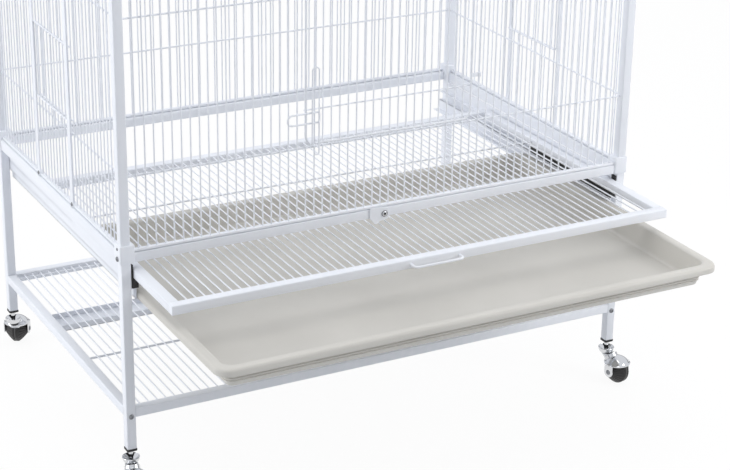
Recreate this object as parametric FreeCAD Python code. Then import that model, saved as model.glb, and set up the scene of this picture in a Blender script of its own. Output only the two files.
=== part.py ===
import FreeCAD, Part
import math
import os

# Bird aviary on a wheeled stand, with its grate and droppings tray drawn out at the front.
# Millimetres. X runs left to right along the front, Y runs to the back, Z is up from the floor.
# The origin is on the floor, under the middle of the outline with the tray drawn out.

V = FreeCAD.Vector

# Overall sizes
width = 940.0               # over the posts, left to right
depth = 608.0               # over the posts, front to back
height = 1524.0             # floor to the top of the roof frame
base_height = 416.0         # floor to the top of the base rails
tray_out = 314.0            # how far the tray stands out of the front at rest
grate_out = 154.0           # how far the grate stands out of the front at rest

# Square tube
tube = 16.0                 # legs, posts, rails and shelf frame
tube_wall = 1.2
tube_corner = 1.6           # outside corner radius
side_rail_height = 20.0
fit = 0.05                  # clearance of a sliding or running fit
touch = 0.05                # gap left where two round wires cross

# Corner blocks
block_proud = 2.5           # how far a block stands out from its tube
block_above = 14.0          # above the rail top
block_below = 17.0          # below the rail top
block_corner = 3.0
block_reach = 4.5           # how much further a block runs along its two rails
joint_drop = 2.0            # leg and post meet this far below the rail top

# Wires
wire_pitch = 15.1           # nominal, centre to centre
wire_d = 2.5
cross_d = 3.0               # level wires of the panels
cross_first = 124.0         # first level wire above the rail top
cross_pitch = 248.0         # level wires above that
panel_inset = 5.0           # front and rear wires behind the face of the post
side_inset = 8.0            # side wires behind the face of the post
sill_gap = 1.0              # shadow gap between base rail and sill
sill_height = 4.0
sill_width = 8.0

# Front door
door_pitches = 10           # half the door's width, in wire pitches
door_rows = 2               # the door's height, in level wire pitches
door_frame_d = 4.0
door_gap = 2.5              # between the door frame and the level wires below and above
door_bend = 14.0
door_cross_rise = 62.0      # door's first level wire above the wire that it stands on
door_cross_pitch = 186.0
eye_inset = 70.0            # hinge eyes from the door's lower and upper end
eye_r = 3.2
eye_height = 7.0
eye_arm = 1.6

# Door latch, a wire loop that slides behind a bent wire guide
latch_d = 3.0
latch_length = 59.0
latch_height = 20.0
latch_rise = 50.0           # middle of the loop above the wire that the door stands on
latch_reach = 35.0          # how far the loop stands out past the door frame
latch_gap = 0.4
latch_bend = 4.0
guide_span = 12.0           # between the guide's two legs
guide_inset = 14.3          # middle of the guide from the door frame
guide_rise = 128.0
guide_drop = 9.0
guide_hook = 8.0

# Feeder doors on the sides
strip_half = 81.5           # middle of each strip from the middle of the side
strip_width = 12.0
strip_t = 1.5
feeder_rise = 145.0         # lower edge above the rail top
feeder_height = 128.0
feeder_lap = 4.0            # how far the feeder door runs in behind each strip
feeder_d = 2.5
feeder_gap = 0.4
feeder_bend = 5.0

# Runners, glides, grate and tray
runner_t = 1.2              # folded sheet
runner_top = 20.0           # below the rail top
runner_step = 60.0          # step that the glide lies on, below the rail top
runner_jog = 9.0            # from the leg to the inner face of the lower web
runner_setback = 2.5        # runner's ends behind the faces of the posts
tray_ledge_drop = 79.0      # top of the tray's ledge below the rail top
tray_ledge_width = 13.0
glide_length = 265.0        # from the front of the posts
glide_t = 2.3               # clip at the glide's front end
glide_clip = 12.0           # length of the clip
glide_width = 11.0          # foot of the glide, which the grate lies on
grate_ledge_width = 8.0     # steel ledge behind the glide
grate_drop = 43.4           # top of the glide and of the ledge behind it, below the rail top
grate_wide = 17.0           # tube of the grate's frame
grate_high = 15.5
grate_depth = 584.0
slide_gap = 0.5             # between a runner and what slides along it
rest_gap = 0.3              # between a ledge and what lies on it
grate_rods = (205.0, 398.0)     # rods under the grate's wires, from its front
handle_d = 4.2
handle_width = 93.0
handle_reach = 18.0
handle_bend = 7.0
tray_depth = 604.0
tray_height = 38.5
tray_wall = 2.6
tray_rim_wide = 14.0
tray_rim_high = 12.0
tray_rim_wall = 2.0
tray_rim_round = 4.0        # rounding along the rim's outer top edge
tray_draft = 10.0           # how far the wall leans in on its way down
tray_corner = 20.0
tray_rim_corner = 24.0

# Swing tab on the front rail
tab_x = -10.0
tab_drop = 9.6              # bolt below the rail top
tab_left = 27.0             # sizes of the plate, from its bolt
tab_right = 10.5
tab_top = 12.0
tab_tip = 17.5
tab_tip_x = 16.0
tab_corner = 3.0
tab_t = 2.0
tab_bolt_r = 3.0
tab_head_r = 5.5
tab_head_h = 2.2
tab_gap = 0.3

# Lower shelf
shelf_top = 148.0
shelf_wire_drop = 4.0       # wires below the top of the shelf frame
shelf_channel = 355.0       # folded channel under the wires, from the front of the posts
shelf_channel_wide = 53.0
shelf_channel_high = 11.0
shelf_channel_t = 1.5
shelf_rod = 216.0           # round rod under the wires, from the front of the posts
shelf_rear_rod = 23.0       # second round rod, from the rear of the posts
shelf_rod_d = 4.0
shelf_bolt_drop = 13.5      # below the top of the shelf frame

# Fasteners
bolt_r = 4.2
bolt_head = 2.5
bolt_drop = 9.0             # corner bolts below the rail top
upper_bolt_r = 2.4          # second, smaller bolt of the front blocks
upper_bolt_head = 1.5
upper_bolt_rise = 7.5       # above the rail top
screw_r = 3.4
screw_head = 1.8

# Casters
caster_height = 72.0        # floor to the underside of the leg cap
wheel_r = 25.0
wheel_half = 20.0
wheel_end_r = 8.5
wheel_bulge = 1.3           # how far each side swells out between tread and end
wheel_groove = 1.0
wheel_groove_half = 1.0
wheel_tread_half = 4.3
trail = 28.0
hood_gap = 0.7
hood_wall = 1.3
hood_rise = 13.0            # rim of the hood above the axle
ear_gap = 1.4               # between the wheel's end and the ear beside it
ear_t = 2.0
ear_r = 9.5
ring_r = 13.0               # ring where the neck meets the hood
ring_lean = 37.0            # degrees that the ring leans towards the stem
ring_out = 29.0             # top of the ring from the middle of the wheel
neck_r = 10.0               # top of the neck, where the cup begins
neck_top = 50.0
cup_r = 14.5
cup_top = 60.0
cup_floor = 53.0
stem_r = 4.0
stem_low = 48.0
stem_up = 14.0
collar_r = 5.5
collar_h = 3.0
axle_r = 3.0
rivet_r = 4.6
rivet_h = 1.5
front_swivel = 14.0         # degrees that the front casters are turned outwards
rear_swivel = 150.0         # degrees that the rear casters are turned inwards

# Leg caps and post caps
cap_flange = 4.0
cap_proud = 0.8
cap_insert = 14.0
post_cap = 10.0

# Values worked out from the sizes above
half_w = width / 2
rear_turn = math.radians(180 - rear_swivel)
tread_reach = wheel_r * math.cos(rear_turn) + wheel_tread_half * math.sin(rear_turn)
hood_r = wheel_r + hood_gap + hood_wall
hood_reach = math.sqrt(hood_r ** 2 - hood_rise ** 2)
wheel_over = trail * math.cos(rear_turn) + max(tread_reach, hood_reach) - tube / 2
front_y = (tray_out - depth - wheel_over) / 2
rear_y = front_y + depth
mid_y = front_y + depth / 2
leg_foot = caster_height + cap_flange
joint_z = base_height - joint_drop
block_low = base_height - block_below
block_high = base_height + block_above
sill_z = base_height + sill_gap
wire_low = sill_z + sill_height
roof_low = height - tube
inner_x = half_w - tube
block_in = tube + block_proud + block_reach
block_in_x = half_w - block_in
wire_r = wire_d / 2
cross_r = cross_d / 2
front_gaps = 2 * round((width - 2 * tube) / (2 * wire_pitch))
front_pitch = (width - 2 * tube) / front_gaps
side_gaps = 2 * round((depth - 2 * tube) / (2 * wire_pitch))
side_pitch = (depth - 2 * tube) / side_gaps
front_wire_y = front_y + panel_inset
rear_wire_y = rear_y - panel_inset
side_wire_x = half_w - side_inset
cross_step = wire_r + cross_r + touch
level_count = int((roof_low - base_height - cross_first - cross_d) / cross_pitch) + 1
levels = [base_height + cross_first + i * cross_pitch for i in range(level_count)]
door_half = door_pitches * front_pitch
jamb_x = door_half + front_pitch
door_frame_r = door_frame_d / 2
doorway_low = levels[0]
doorway_high = levels[door_rows]
door_low = doorway_low + cross_r + door_gap + door_frame_r
door_high = doorway_high - cross_r - door_gap - door_frame_r
leg_centres = {
    "front_left": (-half_w + tube / 2, front_y + tube / 2),
    "front_right": (half_w - tube / 2, front_y + tube / 2),
    "rear_left": (-half_w + tube / 2, rear_y - tube / 2),
    "rear_right": (half_w - tube / 2, rear_y - tube / 2),
}
sides = {"left": -1, "right": 1}


def save(name, *shapes):
    shape = shapes[0] if len(shapes) == 1 else Part.makeCompound(list(shapes))
    shape.exportStep("parts/%s.step" % name)


def block(x0, x1, y0, y1, z0, z1):
    return Part.makeBox(x1 - x0, y1 - y0, z1 - z0, V(x0, y0, z0))


def rod(start, end, radius):
    axis = end - start
    return Part.makeCylinder(radius, axis.Length, start, axis)


def rounded_face(wide, high, radius, z=0.0):
    # A flat rectangle about the Z axis with its corners rounded
    x = wide / 2
    y = high / 2
    k = radius * (1 - math.sqrt(0.5))
    edges = []
    for sx, sy in ((1, 1), (-1, 1), (-1, -1), (1, -1)):
        on_side = V(sx * x, sy * (y - radius), z)
        on_end = V(sx * (x - radius), sy * y, z)
        corner = V(sx * (x - k), sy * (y - k), z)
        first, last = (on_side, on_end) if sx * sy > 0 else (on_end, on_side)
        edges.append(Part.Arc(first, corner, last).toShape())
    lines = []
    for i, arc in enumerate(edges):
        end = arc.lastVertex().Point
        start = edges[(i + 1) % 4].firstVertex().Point
        lines += [arc, Part.makeLine(end, start)]
    return Part.Face(Part.Wire(lines))


def square_tube(wide, high, length, wall, corner):
    # A hollow rounded tube that stands on Z = 0
    outer = rounded_face(wide, high, corner)
    inner = rounded_face(wide - 2 * wall, high - 2 * wall, max(corner - wall, wall / 4))
    return outer.cut(inner).extrude(V(0, 0, length))


def upright_tube(centre, z0, z1):
    shape = square_tube(tube, tube, z1 - z0, tube_wall, tube_corner)
    shape.translate(V(centre[0], centre[1], z0))
    return shape


def level_tube_x(x0, x1, y0, z0, high=tube):
    # Tube along X, its front lower edge at y0, z0
    shape = square_tube(high, tube, x1 - x0, tube_wall, tube_corner)
    shape.rotate(V(0, 0, 0), V(0, 1, 0), 90)
    shape.translate(V(x0, y0 + tube / 2, z0 + high / 2))
    return shape


def level_tube_y(x0, y0, y1, z0, high=tube):
    # Tube along Y, its left lower edge at x0, z0
    shape = square_tube(tube, high, y1 - y0, tube_wall, tube_corner)
    shape.rotate(V(0, 0, 0), V(1, 0, 0), -90)
    shape.translate(V(x0 + tube / 2, y0, z0 + high / 2))
    return shape


def bent_rod(points, radius, bends, closed=False):
    # Straight runs joined by tangent arcs; bends gives the radius at each inner point
    count = len(points)
    corners = range(count) if closed else range(1, count - 1)
    arcs = {}
    for i in corners:
        here = points[i]
        a = (points[i - 1] - here).normalize()
        b = (points[(i + 1) % count] - here).normalize()
        turn = math.pi - a.getAngle(b)
        bend = bends[i] if isinstance(bends, dict) else bends
        back = bend * math.tan(turn / 2)
        middle = (a + b).normalize()
        centre = here + middle * (bend / math.cos(turn / 2))
        arcs[i] = (here + a * back, here + b * back, centre, (a * -1).cross(b), turn)
    pieces = []
    for i in range(count if closed else count - 1):
        j = (i + 1) % count
        start = arcs[i][1] if i in arcs else points[i]
        end = arcs[j][0] if j in arcs else points[j]
        if (end - start).Length > 0.01:
            pieces.append(rod(start, end, radius))
    for i, (start, end, centre, axis, turn) in arcs.items():
        along = (points[i] - points[i - 1]).normalize()
        disc = Part.Face(Part.Wire(Part.makeCircle(radius, start, along)))
        pieces.append(disc.revolve(centre, axis, math.degrees(turn)))
    return pieces[0].multiFuse(pieces[1:]).removeSplitter()


def make_legs():
    for name, centre in leg_centres.items():
        save("leg_" + name, upright_tube(centre, leg_foot, joint_z))
        save("post_" + name, upright_tube(centre, joint_z, height))
    inner = tube - 2 * tube_wall - 2 * fit
    caps = []
    post_caps = []
    for x, y in leg_centres.values():
        flange = rounded_face(tube + 2 * cap_proud, tube + 2 * cap_proud, tube_corner + cap_proud)
        cap = flange.extrude(V(0, 0, cap_flange))
        cap = cap.fuse(rounded_face(inner, inner, tube_wall / 4, cap_flange).extrude(V(0, 0, cap_insert)))
        cap = cap.cut(Part.makeCylinder(stem_r + fit, cap_flange + cap_insert))
        cap.translate(V(x, y, caster_height))
        caps.append(cap)
        plug = rounded_face(inner, inner, tube_wall / 4).extrude(V(0, 0, post_cap))
        plug.translate(V(x, y, height - post_cap))
        post_caps.append(plug)
    save("leg_end_caps", *caps)
    save("post_caps", *post_caps)


def make_corner_blocks():
    outside = tube + 2 * block_proud + block_reach
    inside = tube + 2 * fit
    inward = block_reach / 2
    blocks = []
    bolts = []
    for x, y in leg_centres.values():
        body = rounded_face(outside, outside, block_corner).extrude(V(0, 0, block_high - block_low))
        rim = [e for e in body.Edges if e.BoundBox.ZMin > block_high - block_low - touch]
        body = body.makeChamfer(block_proud * 0.7, rim)
        out = math.copysign(1, x)
        body.translate(V(-out * inward, inward if y < mid_y else -inward, 0))
        bore = rounded_face(inside, inside, tube_corner).extrude(V(0, 0, block_high - block_low))
        body = body.cut(bore)
        body.translate(V(x, y, block_low))
        blocks.append(body)
        face = V(out * (half_w + block_proud), y, base_height - bolt_drop)
        head = Part.makeCylinder(bolt_r, bolt_head * 0.6, face, V(out, 0, 0))
        crown = Part.makeCone(bolt_r * 0.9, bolt_r * 0.55, bolt_head * 0.4, face + V(out * bolt_head * 0.6, 0, 0), V(out, 0, 0))
        bolts.append(head.fuse(crown))
        if y < mid_y:
            face = V(out * (half_w + block_proud), y, base_height + upper_bolt_rise)
            bolts.append(Part.makeCone(upper_bolt_r, upper_bolt_r * 0.7, upper_bolt_head, face, V(out, 0, 0)))
    save("corner_blocks", *blocks)
    save("corner_bolts", *bolts)


def make_base_rails():
    low = base_height - tube
    save("front_rail", level_tube_x(-block_in_x, block_in_x, front_y, low))
    save("rear_rail", level_tube_x(-block_in_x, block_in_x, rear_y - tube, low))
    side_low = base_height - side_rail_height
    for name, s in sides.items():
        x0 = min(s * half_w, s * inner_x)
        rail = level_tube_y(x0, front_y + block_in, rear_y - block_in, side_low, side_rail_height)
        save(name + "_rail", rail)


def make_runners():
    # Folded steel runner on the legs with ledges for the grate and the tray, and a plastic glide at its front
    top = base_height - runner_top
    step = base_height - runner_step
    ledge = base_height - tray_ledge_drop
    foot = base_height - grate_drop
    front_end = front_y + runner_setback
    rear_end = rear_y - runner_setback
    glide_end = front_y + glide_length
    for name, s in sides.items():
        def slab(in_a, in_b, za, zb, ya=front_end, yb=rear_end):
            # in_a and in_b are measured from the leg towards the middle
            xa, xb = sorted((s * (inner_x - in_a), s * (inner_x - in_b)))
            return block(xa, xb, ya, yb, za, zb)
        web = slab(0, runner_t, step - runner_t, top)
        shelf = slab(0, runner_jog, step - runner_t, step)
        lower = slab(runner_jog - runner_t, runner_jog, ledge - runner_t, step)
        rest = slab(runner_jog - runner_t, runner_jog + tray_ledge_width, ledge - runner_t, ledge)
        bearer = slab(0, grate_ledge_width, foot - runner_t, foot, glide_end)
        save(name + "_runner", web.multiFuse([shelf, lower, rest, bearer]).removeSplitter())
        base = slab(runner_t, runner_t + glide_width, step, foot, front_y, glide_end)
        clip = slab(runner_t, runner_t + glide_t, foot, top, front_y, front_y + glide_clip)
        save(name + "_glide", base.fuse(clip).removeSplitter())


def make_shelf():
    low = shelf_top - tube
    frame = [
        level_tube_x(-inner_x, inner_x, front_y, low),
        level_tube_x(-inner_x, inner_x, rear_y - tube, low),
        level_tube_y(-half_w, front_y + tube, rear_y - tube, low),
        level_tube_y(inner_x, front_y + tube, rear_y - tube, low),
    ]
    wire_z = shelf_top - shelf_wire_drop
    under = wire_z - wire_r - touch
    y = front_y + shelf_channel
    t = shelf_channel_t
    channel = block(-inner_x, inner_x, y, y + shelf_channel_wide, under - shelf_channel_high, under)
    hollow = block(-inner_x, inner_x, y + t, y + shelf_channel_wide - t, under - shelf_channel_high + t, under)
    frame.append(channel.cut(hollow))
    rod_z = under - shelf_rod_d / 2
    for y in (front_y + shelf_rod, rear_y - shelf_rear_rod):
        frame.append(rod(V(-inner_x, y, rod_z), V(inner_x, y, rod_z), shelf_rod_d / 2))
    save("shelf_frame", *frame)
    wires = []
    for k in range(1, front_gaps):
        x = -inner_x + k * front_pitch
        wires.append(rod(V(x, front_y + tube, wire_z), V(x, rear_y - tube, wire_z), wire_r))
    save("shelf_wires", *wires)
    bolts = []
    for x, y in leg_centres.values():
        out = -1 if y < mid_y else 1
        face = V(x, y + out * tube / 2, shelf_top - shelf_bolt_drop)
        bolts.append(Part.makeCylinder(bolt_r, bolt_head, face, V(0, out, 0)))
    save("shelf_bolts", *bolts)


def caster_stem():
    # Shank from the leg cap down into the hood's neck, with a collar under the cap
    shank = Part.makeCylinder(stem_r, caster_height + stem_up - stem_low, V(0, 0, stem_low))
    collar = Part.makeCylinder(collar_r, collar_h, V(0, 0, caster_height - collar_h))
    return shank.fuse(collar).removeSplitter()


def caster_hood():
    # Cap over the wheel, an ear down to the axle on each side, and a leaning neck with its cup
    centre = V(0, -trail, wheel_r)
    inner_half = wheel_half + ear_gap
    outer_half = inner_half + ear_t
    rim = wheel_r + hood_rise
    big = 4 * wheel_r
    cap = Part.makeSphere(hood_r, centre).common(block(-outer_half, outer_half, -big, big, rim, big))
    ears = Part.makeCylinder(ear_r, 2 * outer_half, centre - V(outer_half, 0, 0), V(1, 0, 0))
    ears = ears.fuse(block(-outer_half, outer_half, -trail - ear_r, -trail + ear_r, wheel_r, rim))
    lean = math.radians(ring_lean)
    ring_axis = V(0, math.sin(lean), math.cos(lean))
    ring = Part.makeCylinder(ring_r, ring_out, centre, ring_axis)
    ring = ring.common(block(-big, big, -big, big, rim, big))
    neck_start = Part.makeCircle(ring_r - hood_wall)
    neck_start.rotate(V(0, 0, 0), V(1, 0, 0), -ring_lean)
    neck_start.translate(centre + ring_axis * (ring_out - hood_wall))
    neck_end = Part.makeCircle(neck_r, V(0, 0, neck_top))
    neck = Part.makeLoft([Part.Wire(neck_start), Part.Wire(neck_end)], True, True)
    cup = Part.makeCone(neck_r, cup_r, cup_top - neck_top, V(0, 0, neck_top))
    hood = cap.fuse([ears, ring, neck, cup])
    room = Part.makeSphere(wheel_r + hood_gap, centre)
    room = room.fuse(Part.makeCylinder(rim - wheel_r, 2 * inner_half, centre - V(inner_half, 0, 0), V(1, 0, 0)))
    room = room.common(block(-inner_half, inner_half, -big, big, -big, big))
    hood = hood.cut(room)
    bowl = Part.makeCone(stem_r + fit, cup_r - hood_wall, cup_top - cup_floor, V(0, 0, cup_floor))
    hood = hood.cut(bowl)
    hood = hood.cut(Part.makeCylinder(stem_r + fit, cup_top - stem_low + rest_gap, V(0, 0, stem_low - rest_gap)))
    bore = Part.makeCylinder(axle_r + fit, 2 * outer_half, centre - V(outer_half, 0, 0), V(1, 0, 0))
    return hood.cut(bore).removeSplitter()


def caster_axle():
    centre = V(0, -trail, wheel_r)
    flat = wheel_half + ear_gap + ear_t
    shape = Part.makeCylinder(axle_r, 2 * flat, centre - V(flat, 0, 0), V(1, 0, 0))
    for s in (-1, 1):
        head = Part.makeCone(rivet_r, rivet_r * 0.6, rivet_h, centre + V(s * flat, 0, 0), V(s, 0, 0))
        shape = shape.fuse(head)
    return shape


def caster_wheel():
    # Tapered wheel with swelling sides, a narrow flat tread and a groove round its middle
    centre = V(0, -trail, wheel_r)
    end_r = wheel_end_r
    on_side = V((wheel_half + wheel_tread_half) / 2, (wheel_r + end_r) / 2 + wheel_bulge, 0)
    groove_r = wheel_r - wheel_groove
    bore_r = axle_r + fit
    right = [
        Part.makeLine(V(0, bore_r, 0), V(wheel_half, bore_r, 0)),
        Part.makeLine(V(wheel_half, bore_r, 0), V(wheel_half, end_r, 0)),
        Part.Arc(V(wheel_half, end_r, 0), on_side, V(wheel_tread_half, wheel_r, 0)).toShape(),
        Part.makeLine(V(wheel_tread_half, wheel_r, 0), V(wheel_groove_half, wheel_r, 0)),
        Part.makeLine(V(wheel_groove_half, wheel_r, 0), V(wheel_groove_half, groove_r, 0)),
        Part.makeLine(V(wheel_groove_half, groove_r, 0), V(0, groove_r, 0)),
        Part.makeLine(V(0, groove_r, 0), V(0, bore_r, 0)),
    ]
    half = Part.Face(Part.Wire(right)).revolve(V(0, 0, 0), V(1, 0, 0), 360)
    wheel = half.fuse(half.mirror(V(0, 0, 0), V(1, 0, 0))).removeSplitter()
    wheel.translate(centre)
    return wheel


def make_casters():
    turns = {
        "front_left": -front_swivel,
        "front_right": front_swivel,
        "rear_left": rear_swivel,
        "rear_right": -rear_swivel,
    }
    stems = []
    for name, (x, y) in leg_centres.items():
        def place(shape):
            shape.rotate(V(0, 0, 0), V(0, 0, 1), turns[name])
            shape.translate(V(x, y, 0))
            return shape
        stems.append(place(caster_stem()))
        save("caster_hood_" + name, place(caster_hood()))
        save("caster_axle_" + name, place(caster_axle()))
        save("caster_wheel_" + name, place(caster_wheel()))
    save("caster_stems", *stems)


def sill_x(y):
    return block(-block_in_x, block_in_x, y - sill_width / 2, y + sill_width / 2, sill_z, sill_z + sill_height)


def make_front_panel():
    y = front_wire_y
    solids = [sill_x(y)]
    tip = cross_r + touch
    for k in range(1 - front_gaps // 2, front_gaps // 2):
        x = k * front_pitch
        if abs(k) > door_pitches:
            spans = [(wire_low, roof_low)]
        else:
            spans = [(wire_low, doorway_low + tip), (doorway_high - tip, roof_low)]
        for low, high in spans:
            solids.append(rod(V(x, y, low), V(x, y, high), wire_r))
    back = y + cross_step
    for z in levels:
        if doorway_low < z < doorway_high:
            for s in (-1, 1):
                solids.append(rod(V(s * inner_x, back, z), V(s * (jamb_x - wire_r), back, z), cross_r))
        else:
            solids.append(rod(V(-inner_x, back, z), V(inner_x, back, z), cross_r))
    save("front_panel", *solids)


def make_rear_panel():
    y = rear_wire_y
    solids = [sill_x(y)]
    for k in range(1 - front_gaps // 2, front_gaps // 2):
        x = k * front_pitch
        solids.append(rod(V(x, y, wire_low), V(x, y, roof_low), wire_r))
    for z in levels:
        solids.append(rod(V(-inner_x, y - cross_step, z), V(inner_x, y - cross_step, z), cross_r))
    save("rear_panel", *solids)


def make_side_panels():
    strip_in = side_inset - wire_r - 2 * feeder_gap - feeder_d
    sill_half = side_inset - strip_in
    mouth = strip_half - strip_width / 2
    mouth_low = base_height + feeder_rise + feeder_d
    mouth_high = base_height + feeder_rise + feeder_height - 2 * feeder_d
    jamb = math.ceil((mouth - wire_r) / side_pitch)
    screws = []
    for name, s in sides.items():
        x = s * side_wire_x
        inside = x - s * cross_step
        outer = x + s * sill_half
        xa, xb = sorted((outer, x - s * sill_width / 2))
        solids = [block(xa, xb, front_y + block_in, rear_y - block_in, sill_z, wire_low)]
        for k in range(1 - side_gaps // 2, side_gaps // 2):
            y = mid_y + k * side_pitch
            if abs(k) < jamb:
                spans = [(wire_low, mouth_low), (mouth_high, roof_low)]
            else:
                spans = [(wire_low, roof_low)]
            for low, high in spans:
                solids.append(rod(V(x, y, low), V(x, y, high), wire_r))
        for z in levels:
            solids.append(rod(V(inside, front_y + tube, z), V(inside, rear_y - tube, z), cross_r))
        reach = jamb * side_pitch + wire_r
        for z in (mouth_low - cross_r, mouth_high + cross_r):
            solids.append(rod(V(inside, mid_y - reach, z), V(inside, mid_y + reach, z), cross_r))
        save(name + "_panel", *solids)
        strips = []
        for e in (-1, 1):
            y = mid_y + e * strip_half
            xa, xb = sorted((outer, outer + s * strip_t))
            strips.append(block(xa, xb, y - strip_width / 2, y + strip_width / 2, sill_z, roof_low))
            face = V(outer + s * strip_t, y, sill_z + sill_height)
            screws.append(Part.makeCone(screw_r, screw_r * 0.6, screw_head, face, V(s, 0, 0)))
        save(name + "_strips", *strips)
    save("strip_screws", *screws)


def make_feeder_doors():
    low = base_height + feeder_rise
    high = low + feeder_height
    r = feeder_d / 2
    half = strip_half - strip_width / 2 + feeder_lap - r
    for name, s in sides.items():
        x = s * (side_wire_x + wire_r + feeder_gap + r)
        loop = [V(x, mid_y - half, low), V(x, mid_y + half, low), V(x, mid_y + half, high), V(x, mid_y - half, high)]
        solids = [bent_rod(loop, r, feeder_bend, closed=True)]
        count = int((half - r) / side_pitch)
        for k in range(-count, count + 1):
            y = mid_y + k * side_pitch
            if half - abs(k * side_pitch) > feeder_bend:
                solids.append(rod(V(x, y, low + r), V(x, y, high - r), r))
        save(name + "_feeder_door", *solids)


def make_roof():
    frame = [
        level_tube_x(-inner_x, inner_x, front_y, roof_low),
        level_tube_x(-inner_x, inner_x, rear_y - tube, roof_low),
        level_tube_y(-half_w, front_y + tube, rear_y - tube, roof_low),
        level_tube_y(inner_x, front_y + tube, rear_y - tube, roof_low),
    ]
    save("roof_frame", *frame)
    z = roof_low + tube / 2
    wires = []
    for k in range(1, front_gaps):
        x = -inner_x + k * front_pitch
        wires.append(rod(V(x, front_y + tube, z), V(x, rear_y - tube, z), wire_r))
    for i in (1, 2, 3):
        y = front_y + depth * i / 4
        wires.append(rod(V(-inner_x, y, z - cross_step), V(inner_x, y, z - cross_step), cross_r))
    save("roof_wires", *wires)


def make_front_door():
    y = front_wire_y
    r = door_frame_r
    loop = [V(-door_half, y, door_low), V(door_half, y, door_low), V(door_half, y, door_high), V(-door_half, y, door_high)]
    save("front_door_frame", bent_rod(loop, r, door_bend, closed=True))
    wires = []
    for k in range(1 - door_pitches, door_pitches):
        x = k * front_pitch
        wires.append(rod(V(x, y, door_low + r), V(x, y, door_high - r), wire_r))
    back = y + r + wire_r + touch
    z = doorway_low + door_cross_rise
    while z < door_high - door_bend:
        wires.append(rod(V(-door_half - r, back, z), V(door_half + r, back, z), wire_r))
        z += door_cross_pitch
    save("front_door_wires", *wires)
    eyes = []
    for z in (door_low + eye_inset, door_high - eye_inset):
        eye = Part.makeCylinder(eye_r, eye_height, V(jamb_x, y, z))
        arm = block(door_half + r, jamb_x, y - eye_arm / 2, y + eye_arm / 2, z, z + eye_height)
        hole = Part.makeCylinder(wire_r + fit, eye_height, V(jamb_x, y, z))
        eyes.append(eye.fuse(arm).cut(hole).removeSplitter())
    save("door_hinge_eyes", *eyes)


def make_door_latch():
    r = latch_d / 2
    y = front_wire_y - door_frame_r - latch_gap - r
    x0 = -door_half - latch_reach + r
    x1 = x0 + latch_length - latch_d
    mid = doorway_low + latch_rise
    z0 = mid - latch_height / 2 + r
    z1 = mid + latch_height / 2 - r
    nose = (z1 - z0) / 2 - touch
    loop = [V(x1, y, z0), V(x1, y, z1), V(x0, y, z1), V(x0, y, z0)]
    bends = {0: latch_bend, 1: latch_bend, 2: nose, 3: nose}
    save("door_latch_loop", bent_rod(loop, r, bends, closed=True))
    gr = wire_r
    gy = y - r - latch_gap - gr
    gx = -door_half + guide_inset
    xa = gx - guide_span / 2
    xb = gx + guide_span / 2
    top = door_low + guide_rise
    low = door_low - guide_drop
    arch = guide_span / 2 - touch
    path = [
        V(xa, front_wire_y - door_frame_r, door_low),
        V(xa, gy, door_low),
        V(xa, gy, top),
        V(xb, gy, top),
        V(xb, gy, low - guide_hook),
        V(xb - guide_hook, gy, low - guide_hook),
        V(xb - guide_hook, gy, low),
    ]
    small = gr * 1.6
    bends = {1: small, 2: arch, 3: arch, 4: guide_hook / 2 - touch, 5: guide_hook / 2 - touch}
    save("door_latch_guide", bent_rod(path, gr, bends))


def make_grate():
    half = inner_x - runner_t - glide_t - slide_gap
    y0 = front_y - grate_out
    y1 = y0 + grate_depth
    low = base_height - grate_drop + rest_gap
    wide = grate_wide
    mid_z = low + grate_high / 2

    def along_x(y):
        shape = square_tube(grate_high, wide, 2 * half, tube_wall, tube_corner)
        shape.rotate(V(0, 0, 0), V(0, 1, 0), 90)
        shape.translate(V(-half, y + wide / 2, mid_z))
        return shape

    def along_y(x):
        shape = square_tube(wide, grate_high, grate_depth - 2 * wide, tube_wall, tube_corner)
        shape.rotate(V(0, 0, 0), V(1, 0, 0), -90)
        shape.translate(V(x + wide / 2, y0 + wide, mid_z))
        return shape

    save("grate_frame", along_x(y0), along_x(y1 - wide), along_y(-half), along_y(half - wide))
    z = low + grate_high - wire_d
    inner = half - wide
    gaps = 2 * round(inner / wire_pitch)
    pitch = 2 * inner / gaps
    wires = []
    for k in range(1, gaps):
        x = -inner + k * pitch
        wires.append(rod(V(x, y0 + wide, z), V(x, y1 - wide, z), wire_r))
    for at in grate_rods:
        y = y0 + at
        wires.append(rod(V(-inner, y, z - cross_step), V(inner, y, z - cross_step), cross_r))
    save("grate_wires", *wires)
    r = handle_d / 2
    hx = handle_width / 2 - r
    path = [V(-hx, y0, mid_z), V(-hx, y0 - handle_reach + r, mid_z), V(hx, y0 - handle_reach + r, mid_z), V(hx, y0, mid_z)]
    save("grate_handle", bent_rod(path, r, handle_bend))


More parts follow.
